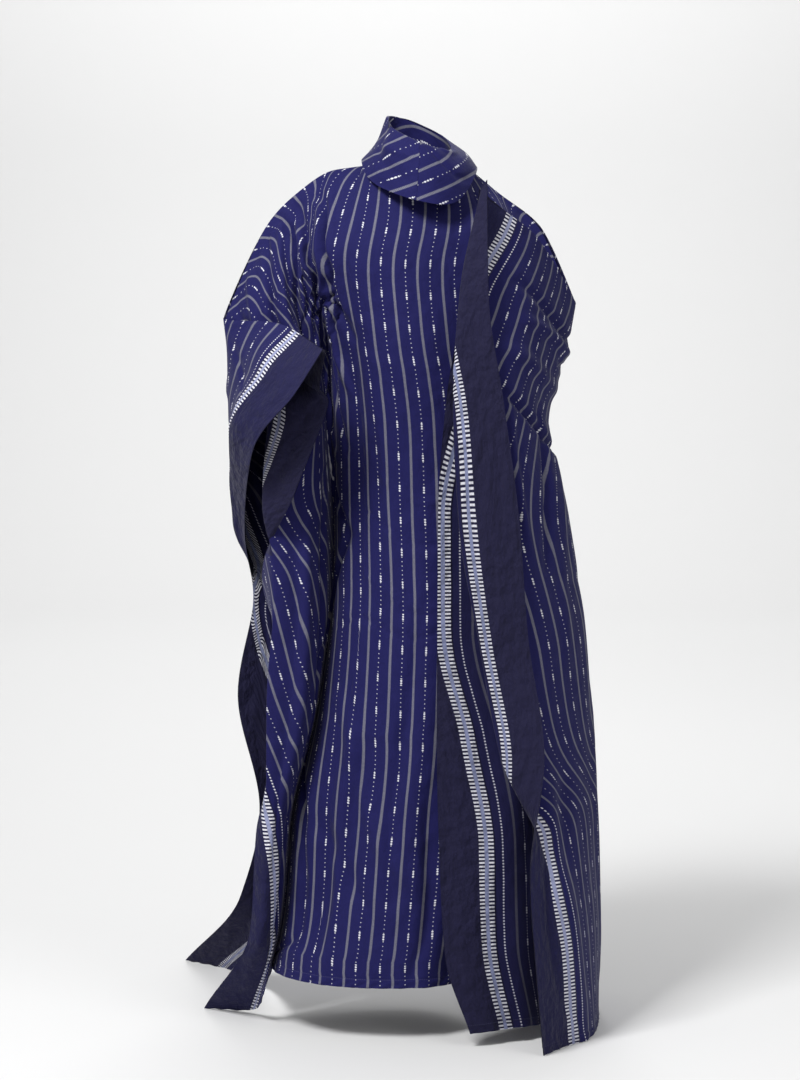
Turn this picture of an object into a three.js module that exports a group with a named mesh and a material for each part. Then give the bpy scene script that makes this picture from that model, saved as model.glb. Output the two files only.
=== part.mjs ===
// A dera: a wide dress of two woven cloths, front and back, joined along the shoulders
// and stitched inboard into a body tube, with four free wings and a cowl collar.
// Millimetres. X runs to the wearer's left, Y backwards, Z up. The origin is where the
// dress is held: the middle of the shoulder line, in the neck.
import * as THREE from 'three';
import * as BufferGeometryUtils from 'three/addons/utils/BufferGeometryUtils.js';

// ---- driving sizes ----
const wall = 2; // thickness of the cloth
const seamGap = 0.3; // clear space between two pieces at a seam
const lap = wall / 2 + seamGap / 2 + 0.05; // half the distance of two layers held together
const neck = { halfWidth: 88, y: 8, front: 80, back: 72, side: 9, frontDrop: 52, backRise: 6 };
const stepsDown = 26; // faces along the cloth, from shoulder to hem
const stepsAcross = 15; // faces across a wing
const bodySteps = 16; // faces across half of the body tube
const collarSteps = 30; // faces round the collar
const collarRise = 12; // faces over the collar, from its seam to its free edge

// ---- the stitched side lines, a row for each level, armholes where open is not 0 ----
const sideRight = [
  { level: 'shoulder', x: -156, y: 12, z: 0, open: 0 },
  { level: 'armhole', x: -163, y: 12, z: -140, open: 150 },
  { level: 'armpit', x: -148, y: 22, z: -330, open: 0 },
  { level: 'waist', x: -140, y: 18, z: -520, open: 0 },
  { level: 'hip', x: -142, y: 10, z: -720, open: 0 },
  { level: 'thigh', x: -168, y: 4, z: -930, open: 0 },
  { level: 'knee', x: -214, y: -2, z: -1130, open: 0 },
  { level: 'shin', x: -226, y: -8, z: -1280, open: 0 },
  { level: 'hem', x: -250, y: -14, z: -1393, open: 0 },
];
const sideLeft = [
  { level: 'shoulder', x: 150, y: 12, z: -42, open: 0 },
  { level: 'armhole', x: 168, y: 14, z: -160, open: 150 },
  { level: 'armpit', x: 170, y: 26, z: -330, open: 0 },
  { level: 'waist', x: 188, y: 24, z: -520, open: 0 },
  { level: 'hip', x: 202, y: 22, z: -720, open: 0 },
  { level: 'thigh', x: 192, y: 20, z: -930, open: 0 },
  { level: 'knee', x: 165, y: 14, z: -1130, open: 0 },
  { level: 'shin', x: 138, y: 6, z: -1280, open: 0 },
  { level: 'hem', x: 114, y: -4, z: -1398, open: 0 },
];

// ---- how far the body tube stands forward and back at each level ----
const tube = [
  { level: 'shoulder', front: -72, back: 80 },
  { level: 'armhole', front: -104, back: 108 },
  { level: 'armpit', front: -122, back: 112 },
  { level: 'waist', front: -112, back: 100 },
  { level: 'hip', front: -126, back: 150 },
  { level: 'thigh', front: -132, back: 142 },
  { level: 'knee', front: -148, back: 132 },
  { level: 'shin', front: -156, back: 132 },
  { level: 'hem', front: -168, back: 136 },
];

// ---- the wings: a row for each level, a point for each named line down the cloth ----
const wingFrontRight = [
  { upper: [-250, 20, -82], elbow: [-330, 17, -256], fold: [-235, -96, -266], edge: [-149, -237, -312] },
  { upper: [-222, -34, -190], elbow: [-276, -36, -272], fold: [-222, -90, -332], edge: [-160, -192, -372] },
  { upper: [-176, -46, -400], elbow: [-206, -86, -412], fold: [-248, -122, -424],
    edge: [-146, -188, -398] },
  { upper: [-162, -60, -560], elbow: [-204, -98, -566], fold: [-260, -116, -572],
    edge: [-204, -152, -552] },
  { upper: [-160, -64, -712], elbow: [-196, -104, -706], fold: [-238, -108, -702],
    edge: [-264, -58, -704] },
  { upper: [-172, -66, -912], elbow: [-210, -108, -910], fold: [-254, -106, -908], edge: [-214, 10, -904] },
  { upper: [-222, -74, -1120], elbow: [-238, -104, -1120], fold: [-256, -110, -1118],
    edge: [-274, -92, -1142] },
  { upper: [-240, -74, -1290], elbow: [-250, -98, -1294], fold: [-264, -112, -1300],
    edge: [-284, -96, -1306] },
  { upper: [-264, -44, -1432], elbow: [-280, 8, -1474], fold: [-322, 54, -1488], edge: [-378, 72, -1489] },
];
const wingBackRight = [
  { upper: [-250, 22, -82], elbow: [-334, 18, -254], fore: [-239, -99, -264], edge: [-153, -241, -310] },
  { upper: [-262, 88, -205], elbow: [-327, 6, -330], fore: [-264, -158, -342], edge: [-200, -240, -384] },
  { upper: [-252, 106, -380], elbow: [-326, 32, -430], fore: [-318, -112, -446], edge: [-272, -186, -478] },
  { upper: [-214, 94, -570], elbow: [-274, 98, -592], fore: [-320, 50, -602], edge: [-298, 18, -636] },
  { upper: [-192, 88, -770], elbow: [-232, 108, -772], fore: [-262, 100, -766], edge: [-288, 90, -748] },
  { upper: [-206, 98, -965], elbow: [-246, 126, -958], fore: [-286, 120, -946], edge: [-318, 112, -930] },
  { upper: [-214, 112, -1150], elbow: [-238, 156, -1148], fore: [-262, 168, -1142],
    edge: [-282, 158, -1136] },
  { upper: [-238, 124, -1310], elbow: [-262, 196, -1320], fore: [-296, 232, -1324],
    edge: [-322, 228, -1318] },
  { upper: [-264, 128, -1442], elbow: [-290, 272, -1484], fore: [-356, 372, -1489],
    edge: [-443, 446, -1489] },
];
const wingFrontLeft = [
  { upper: [214, 20, -95], turn: [274, 4, -230], front: [198, -106, -120], edge: [106, -188, -44] },
  { upper: [204, -22, -222], turn: [236, -30, -288], front: [158, -112, -214], edge: [92, -168, -176] },
  { upper: [200, 2, -400], turn: [214, -44, -406], front: [138, -138, -400], edge: [52, -166, -394] },
  { upper: [216, 8, -580], turn: [234, -42, -584], front: [140, -146, -590], edge: [38, -174, -590] },
  { upper: [238, 6, -780], turn: [262, -46, -780], front: [150, -152, -780], edge: [37, -182, -780] },
  { upper: [246, 12, -970], turn: [278, -50, -968], front: [166, -158, -966], edge: [36, -186, -966] },
  { upper: [238, 22, -1160], turn: [268, -54, -1156], front: [162, -168, -1150], edge: [40, -194, -1150] },
  { upper: [222, 28, -1320], turn: [262, -50, -1320], front: [166, -176, -1316], edge: [50, -200, -1330] },
  { upper: [206, 30, -1446], turn: [252, -44, -1476], front: [186, -164, -1464], edge: [93, -200, -1466] },
];
const wingBackLeft = [
  { upper: [217, 27, -92], elbow: [280, 9, -228], fore: [202, -110, -116], fold: [108, -196, -50],
    edge: [118, -204, -30] },
  { upper: [240, 74, -250], elbow: [262, -4, -322], fore: [184, -152, -252], fold: [74, -214, -212],
    edge: [120, -228, -214] },
  { upper: [226, 78, -420], elbow: [233, -16, -438], fore: [168, -178, -402], fold: [62, -230, -400],
    edge: [146, -222, -398] },
  { upper: [238, 80, -600], elbow: [260, -22, -600], fore: [186, -180, -592], fold: [72, -234, -600],
    edge: [172, -216, -588] },
  { upper: [262, 86, -790], elbow: [298, -24, -780], fore: [208, -178, -780], fold: [106, -236, -800],
    edge: [188, -216, -790] },
  { upper: [274, 100, -980], elbow: [313, -14, -980], fore: [228, -182, -980], fold: [143, -238, -990],
    edge: [214, -250, -984] },
  { upper: [284, 122, -1170], elbow: [323, -4, -1170], fore: [264, -204, -1170], fold: [226, -236, -1176],
    edge: [190, -268, -1180] },
  { upper: [280, 160, -1330], elbow: [327, 16, -1330], fore: [290, -176, -1330], fold: [244, -224, -1334],
    edge: [200, -272, -1338] },
  { upper: [262, 236, -1486], elbow: [329, 72, -1489], fore: [304, -136, -1489], fold: [258, -188, -1489],
    edge: [214, -252, -1489] },
];

// ---- the cowl: a row for each direction round the neck, from its seam, over, and down ----
const cowl = [
  { turn: -90, stand: [2, -66, 4], rim: [8, -86, 42], bulge: [6, -112, 2], fall: [2, -118, -58] },
  { turn: -45, stand: [50, -52, 6], rim: [50, -68, 30], bulge: [64, -94, -6], fall: [68, -102, -60] },
  { turn: 0, stand: [74, 2, 16], rim: [62, -10, 40], bulge: [90, -26, 22], fall: [106, -32, -2] },
  { turn: 45, stand: [54, 56, 26], rim: [46, 50, 66], bulge: [72, 66, 44], fall: [88, 72, 14] },
  { turn: 90, stand: [0, 76, 32], rim: [-4, 68, 92], bulge: [-2, 94, 62], fall: [0, 100, 22] },
  { turn: 135, stand: [-50, 52, 30], rim: [-42, 46, 98], bulge: [-54, 62, 62], fall: [-76, 70, 26] },
  { turn: 180, stand: [-62, 2, 26], rim: [-46, -4, 88], bulge: [-58, -8, 54], fall: [-92, -8, 15] },
  { turn: 225, stand: [-46, -46, 12], rim: [-34, -52, 66], bulge: [-48, -74, 28], fall: [-70, -68, -26] },
];

// ---- the largest soft folds: where across and down they lie, and how deep and wide ----
const bodyFrontFolds = [
  { across: 0.22, drift: 0.02, from: 0.9, to: 4.2, depth: 9, width: 0.06 },
  { across: 0.5, drift: 0.06, from: 3.6, to: 6.2, depth: -10, width: 0.08 },
  { across: 0.36, drift: -0.14, from: 5.2, to: 7.6, depth: 22, width: 0.12 },
  { across: 0.68, drift: -0.04, from: 5.6, to: 8.6, depth: -12, width: 0.09 },
  { across: 0.86, drift: 0, from: 2.4, to: 8.6, depth: 10, width: 0.06 },
];
const bodyBackFolds = [
  { across: 0.24, drift: 0.02, from: 1.4, to: 5, depth: -10, width: 0.07 },
  { across: 0.44, drift: -0.04, from: 3.4, to: 8.6, depth: -16, width: 0.09 },
  { across: 0.62, drift: 0.05, from: 4, to: 8.6, depth: 18, width: 0.08 },
  { across: 0.8, drift: 0.02, from: 2, to: 7.6, depth: -12, width: 0.07 },
];
const wingFrontRightFolds = [
  { across: 0.32, drift: 0.02, from: 0.2, to: 2.1, depth: 10, width: 0.07 },
  { across: 0.55, drift: -0.06, from: 2.6, to: 6.8, depth: -8, width: 0.08 },
];
const wingBackRightFolds = [
  { across: 0.34, drift: 0.04, from: 0.6, to: 4.4, depth: -14, width: 0.09 },
  { across: 0.62, drift: 0.03, from: 0.1, to: 2.4, depth: 10, width: 0.08 },
  { across: 0.5, drift: -0.06, from: 4.4, to: 8.4, depth: 16, width: 0.1 },
];
const wingFrontLeftFolds = [
  { across: 0.72, drift: 0.05, from: 3.2, to: 6.4, depth: 10, width: 0.07 },
  { across: 0.82, drift: 0, from: 6.2, to: 8.8, depth: -9, width: 0.07 },
];
const wingBackLeftFolds = [
  { across: 0.3, drift: 0.02, from: 0.6, to: 8.4, depth: -12, width: 0.08 },
  { across: 0.48, drift: -0.04, from: 2, to: 3.6, depth: 12, width: 0.07 },
  { across: 0.56, drift: 0.03, from: 4.2, to: 8.2, depth: -9, width: 0.06 },
];

// A smooth curve through evenly spaced values that never swings past them.
function smooth(values, at) {
  const last = values.length - 1;
  const i = Math.min(Math.floor(at), last - 1);
  const f = at - i;
  const slope = (k) => {
    if (k < 1 || k > last - 1) return k < 1 ? values[1] - values[0] : values[last] - values[last - 1];
    const before = values[k] - values[k - 1];
    const after = values[k + 1] - values[k];
    return before * after > 0 ? (2 * before * after) / (before + after) : 0;
  };
  const f2 = f * f;
  const f3 = f2 * f;
  return values[i] * (2 * f3 - 3 * f2 + 1) + values[i + 1] * (3 * f2 - 2 * f3)
    + slope(i) * (f3 - 2 * f2 + f) + slope(i + 1) * (f3 - f2);
}

function smoothPoint(points, at) {
  return new THREE.Vector3(...[0, 1, 2].map((axis) => smooth(points.map((p) => p[axis]), at)));
}

// One stitched side line at a level; side is -1 on its front layer and 1 on its back layer.
function sidePoint(table, side, at) {
  const value = (column) => smooth(table.map((row) => row[column]), at);
  return new THREE.Vector3(value('x'), value('y') + side * (value('open') / 2 + lap), value('z'));
}

// The top edge of a body half: shoulder, neckline, shoulder, as across goes from 0 to 1.
function topPoint(side, across) {
  const y = side * lap;
  if (across < 0.25 || across > 0.75) {
    const out = across < 0.25 ? 1 - across * 4 : across * 4 - 3;
    const neckEnd = new THREE.Vector3(across < 0.5 ? -neck.halfWidth : neck.halfWidth, neck.y + y, neck.side);
    return neckEnd.lerp(sidePoint(across < 0.5 ? sideRight : sideLeft, side, 0), out);
  }
  const angle = (across - 0.25) * 2 * Math.PI;
  const reach = side < 0 ? neck.front : neck.back;
  const rise = side < 0 ? -neck.frontDrop : neck.backRise;
  return new THREE.Vector3(
    -neck.halfWidth * Math.cos(angle),
    neck.y + y + side * reach * Math.sin(angle),
    neck.side + rise * Math.sin(angle) ** 2,
  );
}

// A half of the body tube, between the two stitched side lines.
function bodyPoint(side, across, at) {
  const right = sidePoint(sideRight, side, at);
  const left = sidePoint(sideLeft, side, at);
  const out = (1 - Math.cos(Math.PI * across)) / 2;
  const point = right.clone().lerp(left, out);
  const reach = smooth(tube.map((row) => (side < 0 ? row.front : row.back)), at);
  const swell = Math.sin(Math.PI * across);
  point.y += (reach - point.y) * swell;
  if (at < 1) {
    const ease = 1 - at * at * (3 - 2 * at);
    point.lerp(topPoint(side, across), ease);
  }
  return point;
}

// A wing: its inner edge follows the stitched side line, just clear of the body tube.
function wingPoint(table, sideTable, side, lines, across, at) {
  const outward = Math.sign(sideTable[0].x);
  const inner = sidePoint(sideTable, side, at);
  inner.x += outward * (wall + seamGap + 0.05);
  const points = [inner.toArray()];
  for (const line of lines) {
    points.push(smoothPoint(table.map((row) => row[line]), at).toArray());
  }
  return smoothPoint(points, across * lines.length);
}

// The collar, as across goes round the neck from the front seam and at goes over it.
function cowlPoint(across, at) {
  const rows = [...cowl, cowl[0]];
  const where = across * cowl.length;
  const round = (column) => {
    const next = (i) => rows[(i + cowl.length) % cowl.length][column];
    const i = Math.min(Math.floor(where), cowl.length - 1);
    const spots = [i - 1, i, i + 1, i + 2].map(next).map((p) => new THREE.Vector3(...p));
    return new THREE.CatmullRomCurve3(spots, false, 'catmullrom', 0.5).getPoint((1 + where - i) / 3);
  };
  const turn = (across * 2 - 0.5) * Math.PI;
  const inset = 2.6;
  const front = Math.sin(turn) < 0;
  const base = new THREE.Vector3(
    (neck.halfWidth - inset) * Math.cos(turn),
    neck.y + ((front ? neck.front : neck.back) - inset) * Math.sin(turn),
    neck.side + (front ? -neck.frontDrop : neck.backRise) * Math.sin(turn) ** 2 + 2,
  );
  const columns = [base, round('stand'), round('rim'), round('bulge'), round('fall')];
  return smoothPoint(columns.map((p) => p.toArray()), at * (columns.length - 1));
}

// A grid of points and the cloth's normal at each of them.
function clothGrid(pointAt, columns, rows, span) {
  const points = [];
  for (let j = 0; j <= rows; j += 1) {
    for (let i = 0; i <= columns; i += 1) {
      points.push(pointAt(i / columns, (j / rows) * span));
    }
  }
  return { points, columns, rows };
}

function gridNormals({ points, columns, rows }) {
  const spot = (i, j) =>
    points[Math.min(Math.max(j, 0), rows) * (columns + 1) + Math.min(Math.max(i, 0), columns)];
  return points.map((point, k) => {
    const i = k % (columns + 1);
    const j = Math.floor(k / (columns + 1));
    const along = spot(i + 1, j).clone().sub(spot(i - 1, j));
    const down = spot(i, j + 1).clone().sub(spot(i, j - 1));
    return along.cross(down).normalize();
  });
}

// Soft folds press the cloth along its normal and fade out at their ends and at the seam.
function pressFolds(grid, folds, span) {
  const normals = gridNormals(grid);
  grid.points.forEach((point, k) => {
    const across = (k % (grid.columns + 1)) / grid.columns;
    const at = (Math.floor(k / (grid.columns + 1)) / grid.rows) * span;
    const calm = Math.min(1, across * 8) * Math.min(1, (1 - across) * 8);
    let push = 0;
    for (const fold of folds) {
      const f = (at - fold.from) / (fold.to - fold.from);
      if (f <= 0 || f >= 1) continue;
      const off = (across - fold.across - fold.drift * f) / fold.width;
      push += fold.depth * Math.sin(Math.PI * f) ** 0.7 * Math.exp(-off * off);
    }
    point.addScaledVector(normals[k], push * calm);
  });
}

// A closed wall round a grid: both faces and the four cut edges.
function clothWall({ points, columns, rows }) {
  const normals = gridNormals({ points, columns, rows });
  const positions = [];
  for (const side of [1, -1]) {
    points.forEach((point, k) => {
      positions.push(...point.clone().addScaledVector(normals[k], (side * wall) / 2).toArray());
    });
  }
  const half = points.length;
  const index = [];
  const quad = (a, b, c, d) => index.push(a, b, c, a, c, d);
  for (let j = 0; j < rows; j += 1) {
    for (let i = 0; i < columns; i += 1) {
      const a = j * (columns + 1) + i;
      const b = a + 1;
      const c = b + columns + 1;
      const d = a + columns + 1;
      quad(a, b, c, d);
      quad(half + a, half + d, half + c, half + b);
    }
  }
  const rim = [];
  for (let i = 0; i < columns; i += 1) rim.push(i);
  for (let j = 0; j < rows; j += 1) rim.push(j * (columns + 1) + columns);
  for (let i = columns; i > 0; i -= 1) rim.push(rows * (columns + 1) + i);
  for (let j = rows; j > 0; j -= 1) rim.push(j * (columns + 1));
  rim.forEach((a, k) => {
    const b = rim[(k + 1) % rim.length];
    quad(b, a, half + a, half + b);
  });
  const geometry = new THREE.BufferGeometry();
  geometry.setAttribute('position', new THREE.Float32BufferAttribute(positions, 3));
  geometry.setIndex(index);
  const merged = BufferGeometryUtils.mergeVertices(geometry);
  merged.computeVertexNormals();
  return merged;
}

function cloth(color) {
  return new THREE.MeshStandardMaterial({ color, roughness: 0.85, metalness: 0, side: THREE.DoubleSide });
}

const group = new THREE.Group();
const lastRow = sideRight.length - 1;

function addPiece(name, color, pointAt, columns, rows, span, folds) {
  const grid = clothGrid(pointAt, columns, rows, span);
  pressFolds(grid, folds, span);
  const mesh = new THREE.Mesh(clothWall(grid), cloth(color));
  mesh.name = name;
  group.add(mesh);
}

const bodies = [
  { name: 'front_body', side: -1, color: 0x2b2a63, folds: bodyFrontFolds },
  { name: 'back_body', side: 1, color: 0x26255a, folds: bodyBackFolds },
];
for (const { name, side, color, folds } of bodies) {
  const pointAt = (across, at) => bodyPoint(side, across, at);
  addPiece(name, color, pointAt, bodySteps, stepsDown, lastRow, folds);
}

const wings = [
  { name: 'right_wing_front', table: wingFrontRight, sideTable: sideRight, side: -1,
    lines: ['upper', 'elbow', 'fold', 'edge'], folds: wingFrontRightFolds, color: 0x30306b },
  { name: 'right_wing_back', table: wingBackRight, sideTable: sideRight, side: 1,
    lines: ['upper', 'elbow', 'fore', 'edge'], folds: wingBackRightFolds, color: 0x333370 },
  { name: 'left_wing_front', table: wingFrontLeft, sideTable: sideLeft, side: -1,
    lines: ['upper', 'turn', 'front', 'edge'], folds: wingFrontLeftFolds, color: 0x2a2848 },
  { name: 'left_wing_back', table: wingBackLeft, sideTable: sideLeft, side: 1,
    lines: ['upper', 'elbow', 'fore', 'fold', 'edge'], folds: wingBackLeftFolds, color: 0x333370 },
];
for (const { name, table, sideTable, side, lines, folds, color } of wings) {
  const pointAt = (across, at) => wingPoint(table, sideTable, side, lines, across, at);
  addPiece(name, color, pointAt, stepsAcross, stepsDown, lastRow, folds);
}

addPiece('cowl_collar', 0x2e2d68, (across, at) => {
  const slit = seamGap / 450;
  return cowlPoint(slit / 2 + across * (1 - slit), at);
}, collarSteps, collarRise, 1, []);

export default group;
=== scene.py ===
import math

import bpy
import numpy as np
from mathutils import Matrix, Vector


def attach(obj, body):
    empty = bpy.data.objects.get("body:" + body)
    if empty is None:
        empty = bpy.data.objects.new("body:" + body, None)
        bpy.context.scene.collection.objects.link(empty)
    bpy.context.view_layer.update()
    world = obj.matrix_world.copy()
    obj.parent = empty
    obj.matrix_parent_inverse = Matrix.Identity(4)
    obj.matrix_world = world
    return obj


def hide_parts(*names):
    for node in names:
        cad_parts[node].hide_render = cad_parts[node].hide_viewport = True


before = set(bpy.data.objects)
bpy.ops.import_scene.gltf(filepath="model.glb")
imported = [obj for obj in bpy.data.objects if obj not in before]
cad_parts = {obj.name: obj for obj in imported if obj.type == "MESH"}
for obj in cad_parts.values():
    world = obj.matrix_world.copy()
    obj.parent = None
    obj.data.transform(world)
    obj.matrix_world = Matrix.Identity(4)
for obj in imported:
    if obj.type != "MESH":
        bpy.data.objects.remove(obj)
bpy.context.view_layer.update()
bpy.ops.object.select_all(action="DESELECT")
mm = 0.001
print("frame loaded")


# a pale paper floor that curves up behind, and soft light from the front
studio = {
    "floorZ": -1.4905, "reach": 11.0, "wallY": 7.6, "bend": 2.4, "height": 9.0,
    "paper": (0.72, 0.72, 0.72), "air": (1.0, 1.0, 1.0), "airStrength": 0.36,
}
lamps = [
    {"name": "keyLamp", "spot": (-1.5, -2.3, 2.5), "aim": (0, 0, -0.1), "size": 1.1, "power": 190},
    {"name": "fillLamp", "spot": (2.5, -2.7, 1.7), "aim": (0.1, 0, -0.1), "size": 2.0, "power": 35},
    {"name": "sideLamp", "spot": (-3.2, -2.2, -0.5), "aim": (0, 0, -0.9), "size": 1.5, "power": 10},
    {"name": "rimLamp", "spot": (0.5, 3.0, 2.2), "aim": (0, 0, -0.5), "size": 2.4, "power": 50},
    {"name": "backdropLamp", "spot": (0, 5.4, 5.0), "aim": (0, 9.8, 0.6), "size": 4.5, "power": 370},
]
viewpoint = {"spot": (-0.026, -4.5, -0.342), "tilt": 86.2, "lens": 85.93, "filmHeight": 36}


def buildStudio():
    profile = [(-studio["reach"], 0.0)]
    for step in range(13):
        angle = step / 12 * math.pi / 2
        profile.append((studio["wallY"] + studio["bend"] * math.sin(angle),
                        studio["bend"] * (1 - math.cos(angle))))
    profile.append((studio["wallY"] + studio["bend"], studio["height"]))
    points = [(x, y, studio["floorZ"] + z) for y, z in profile
              for x in (-studio["reach"], studio["reach"])]
    faces = [(2 * k, 2 * k + 1, 2 * k + 3, 2 * k + 2) for k in range(len(profile) - 1)]
    mesh = bpy.data.meshes.new("paperSweep")
    mesh.from_pydata(points, [], faces)
    mesh.polygons.foreach_set("use_smooth", [True] * len(faces))
    sweep = bpy.data.objects.new("paperSweep", mesh)
    bpy.context.scene.collection.objects.link(sweep)
    paper = bpy.data.materials.new("palePaper")
    paper.use_nodes = True
    shader = paper.node_tree.nodes["Principled BSDF"]
    shader.inputs["Base Color"].default_value = (*studio["paper"], 1)
    shader.inputs["Roughness"].default_value = 0.9
    mesh.materials.append(paper)

    world = bpy.data.worlds.new("studioAir")
    bpy.context.scene.world = world
    world.use_nodes = True
    air = world.node_tree.nodes["Background"]
    air.inputs["Color"].default_value = (*studio["air"], 1)
    air.inputs["Strength"].default_value = studio["airStrength"]


def buildLamps():
    for values in lamps:
        lamp = bpy.data.lights.new(values["name"], "AREA")
        lamp.energy = values["power"]
        lamp.size = values["size"]
        holder = bpy.data.objects.new(values["name"], lamp)
        holder.location = values["spot"]
        aim = Vector(values["aim"]) - Vector(values["spot"])
        holder.rotation_euler = aim.to_track_quat("-Z", "Y").to_euler()
        bpy.context.scene.collection.objects.link(holder)


def buildCamera():
    data = bpy.data.cameras.new("standingCamera")
    data.sensor_fit = "VERTICAL"
    data.sensor_height = viewpoint["filmHeight"]
    data.lens = viewpoint["lens"]
    camera = bpy.data.objects.new("standingCamera", data)
    camera.location = viewpoint["spot"]
    camera.rotation_euler = (math.radians(viewpoint["tilt"]), 0, 0)
    bpy.context.scene.collection.objects.link(camera)
    bpy.context.scene.camera = camera


buildStudio()
buildLamps()
buildCamera()
bpy.context.scene.view_settings.view_transform = "Standard"
print("studio and camera set")


# a smooth curve through evenly spaced values that never swings past them
def smooth(values, at):
    values = np.asarray(values, float)
    at = np.atleast_1d(np.asarray(at, float))
    steps = np.diff(values, axis=0)
    slopes = np.zeros_like(values)
    slopes[0], slopes[-1] = steps[0], steps[-1]
    before, after = steps[:-1], steps[1:]
    total = before + after
    slopes[1:-1] = np.where(before * after > 0,
                            2 * before * after / np.where(total == 0, 1, total), 0)
    i = np.clip(np.floor(at).astype(int), 0, len(values) - 2)
    f = (at - i).reshape((-1,) + (1,) * (values.ndim - 1))
    return (values[i] * (2 * f**3 - 3 * f**2 + 1) + values[i + 1] * (3 * f**2 - 2 * f**3)
            + slopes[i] * (f**3 - 2 * f**2 + f) + slopes[i + 1] * (f**3 - f**2))


def column(table, name, at):
    return smooth([row[name] for row in table], at)


wall = 1.6         # thickness of the cloth
seamGap = 0.3      # clear space between the two ends of the cowl's band
lap = 1.2          # half the distance of two layers held together
wingStart = 2.35   # how far outside the side line a wing begins
neck = {
    "halfWidth": 88, "y": 8, "front": 80, "back": 72, "side": 9, "frontDrop": 52, "backRise": 6,
    "cowlInset": 2.6, "cowlLift": 2,    # the cowl's seam lies this far inside and above the neckline
}

# the stitched side lines, a row for each level, armholes where open is not 0
sideRight = [
    {"level": "shoulder", "x": -156, "y": 12, "z": 0, "open": 0},
    {"level": "armhole", "x": -163, "y": 12, "z": -140, "open": 150},
    {"level": "armpit", "x": -148, "y": 22, "z": -330, "open": 0},
    {"level": "waist", "x": -140, "y": 18, "z": -520, "open": 0},
    {"level": "hip", "x": -142, "y": 10, "z": -720, "open": 0},
    {"level": "thigh", "x": -168, "y": 4, "z": -930, "open": 0},
    {"level": "knee", "x": -214, "y": -2, "z": -1130, "open": 0},
    {"level": "shin", "x": -226, "y": -8, "z": -1280, "open": 0},
    {"level": "hem", "x": -250, "y": -14, "z": -1393, "open": 0},
]
sideLeft = [
    {"level": "shoulder", "x": 150, "y": 12, "z": -42, "open": 0},
    {"level": "armhole", "x": 168, "y": 14, "z": -160, "open": 150},
    {"level": "armpit", "x": 170, "y": 26, "z": -330, "open": 0},
    {"level": "waist", "x": 188, "y": 24, "z": -520, "open": 0},
    {"level": "hip", "x": 202, "y": 22, "z": -720, "open": 0},
    {"level": "thigh", "x": 192, "y": 20, "z": -930, "open": 0},
    {"level": "knee", "x": 165, "y": 14, "z": -1130, "open": 0},
    {"level": "shin", "x": 138, "y": 6, "z": -1280, "open": 0},
    {"level": "hem", "x": 114, "y": -4, "z": -1398, "open": 0},
]
# how far the body tube stands forward and back at each level
tube = [
    {"level": "shoulder", "front": -72, "back": 80},
    {"level": "armhole", "front": -104, "back": 108},
    {"level": "armpit", "front": -122, "back": 112},
    {"level": "waist", "front": -112, "back": 100},
    {"level": "hip", "front": -126, "back": 150},
    {"level": "thigh", "front": -132, "back": 142},
    {"level": "knee", "front": -148, "back": 132},
    {"level": "shin", "front": -156, "back": 132},
    {"level": "hem", "front": -168, "back": 136},
]
# the wings: a row for each level, a point for each named line down the cloth
wingFrontRight = [
    {"upper": [-250, 20, -82], "elbow": [-330, 17, -256], "fold": [-235, -96, -266],
     "edge": [-149, -237, -312]},
    {"upper": [-222, -34, -190], "elbow": [-276, -36, -272], "fold": [-222, -90, -332],
     "edge": [-160, -192, -372]},
    {"upper": [-176, -46, -400], "elbow": [-206, -86, -412], "fold": [-248, -122, -424],
     "edge": [-146, -188, -398]},
    {"upper": [-162, -60, -560], "elbow": [-204, -98, -566], "fold": [-260, -116, -572],
     "edge": [-204, -152, -552]},
    {"upper": [-160, -64, -712], "elbow": [-196, -104, -706], "fold": [-238, -108, -702],
     "edge": [-264, -58, -704]},
    {"upper": [-172, -66, -912], "elbow": [-210, -108, -910], "fold": [-254, -106, -908],
     "edge": [-214, 10, -904]},
    {"upper": [-222, -74, -1120], "elbow": [-238, -104, -1120], "fold": [-256, -110, -1118],
     "edge": [-274, -92, -1142]},
    {"upper": [-240, -74, -1290], "elbow": [-250, -98, -1294], "fold": [-264, -112, -1300],
     "edge": [-284, -96, -1306]},
    {"upper": [-264, -44, -1432], "elbow": [-280, 8, -1474], "fold": [-322, 54, -1488],
     "edge": [-378, 72, -1489]},
]
wingBackRight = [
    {"upper": [-250, 22, -82], "elbow": [-334, 18, -254], "fore": [-239, -99, -264],
     "edge": [-153, -241, -310]},
    {"upper": [-262, 88, -205], "elbow": [-327, 6, -330], "fore": [-264, -158, -342],
     "edge": [-200, -240, -384]},
    {"upper": [-252, 106, -380], "elbow": [-326, 32, -430], "fore": [-318, -112, -446],
     "edge": [-272, -186, -478]},
    {"upper": [-214, 94, -570], "elbow": [-274, 98, -592], "fore": [-320, 50, -602],
     "edge": [-298, 18, -636]},
    {"upper": [-192, 88, -770], "elbow": [-232, 108, -772], "fore": [-262, 100, -766],
     "edge": [-288, 90, -748]},
    {"upper": [-206, 98, -965], "elbow": [-246, 126, -958], "fore": [-286, 120, -946],
     "edge": [-318, 112, -930]},
    {"upper": [-214, 112, -1150], "elbow": [-238, 156, -1148], "fore": [-262, 168, -1142],
     "edge": [-282, 158, -1136]},
    {"upper": [-238, 124, -1310], "elbow": [-262, 196, -1320], "fore": [-296, 232, -1324],
     "edge": [-322, 228, -1318]},
    {"upper": [-264, 128, -1442], "elbow": [-290, 272, -1484], "fore": [-356, 372, -1489],
     "edge": [-443, 446, -1489]},
]
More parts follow.
